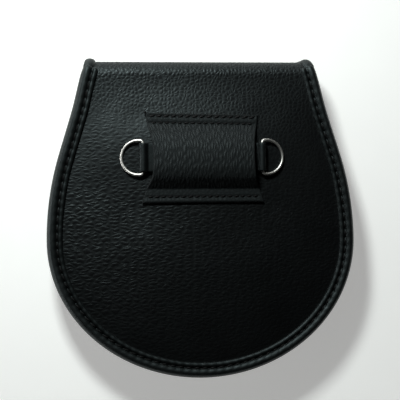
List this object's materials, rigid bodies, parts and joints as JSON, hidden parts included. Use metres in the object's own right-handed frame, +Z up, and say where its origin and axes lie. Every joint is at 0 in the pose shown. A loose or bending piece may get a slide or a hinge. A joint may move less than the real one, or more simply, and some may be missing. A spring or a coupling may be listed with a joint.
{
  "type": "sporran pouch",
  "caption": "Round-bottomed leather sporran pouch with a fold-over flap, bound edges, and a belt loop with D-rings on its back.",
  "frame": {"origin": "centre of the bounding box in X and Y, on the surface that the pouch lies on", "axes": "+Z up out of the back of the pouch, which lies on its front; +Y towards the top fold; +X across the pouch to the right as its back is looked at"},
  "size_m": [0.2, 0.2068, 0.0459],
  "materials": {
    "pebbled_leather": "embossed pebble grain, semi-matt black",
    "smooth_leather": "smooth corrected grain, satin black",
    "plated_steel": "polished nickel plate",
    "waxed_thread": "twisted waxed thread, black"
  },
  "bodies": {
    "pouch": {"back_and_flap": "pebbled_leather", "back_binding": "smooth_leather", "flap_binding": "smooth_leather", "gusset": "pebbled_leather", "front_panel": "pebbled_leather", "press_stud": "plated_steel", "belt_loop": "pebbled_leather", "ring_strap": "smooth_leather"},
    "left_ring": {"ring_left": "plated_steel"},
    "right_ring": {"ring_right": "plated_steel"}
  },
  "joints": [
    {"name": "left_ring_swing", "type": "hinge", "parent": "pouch", "child": "left_ring", "pos_m": [-0.0385, 0.0382, 0.03695], "axis": [0, 1, 0], "range_deg": [0, 125]},
    {"name": "right_ring_swing", "type": "hinge", "parent": "pouch", "child": "right_ring", "pos_m": [0.0385, 0.0382, 0.03695], "axis": [0, -1, 0], "range_deg": [0, 125]}
  ]
}
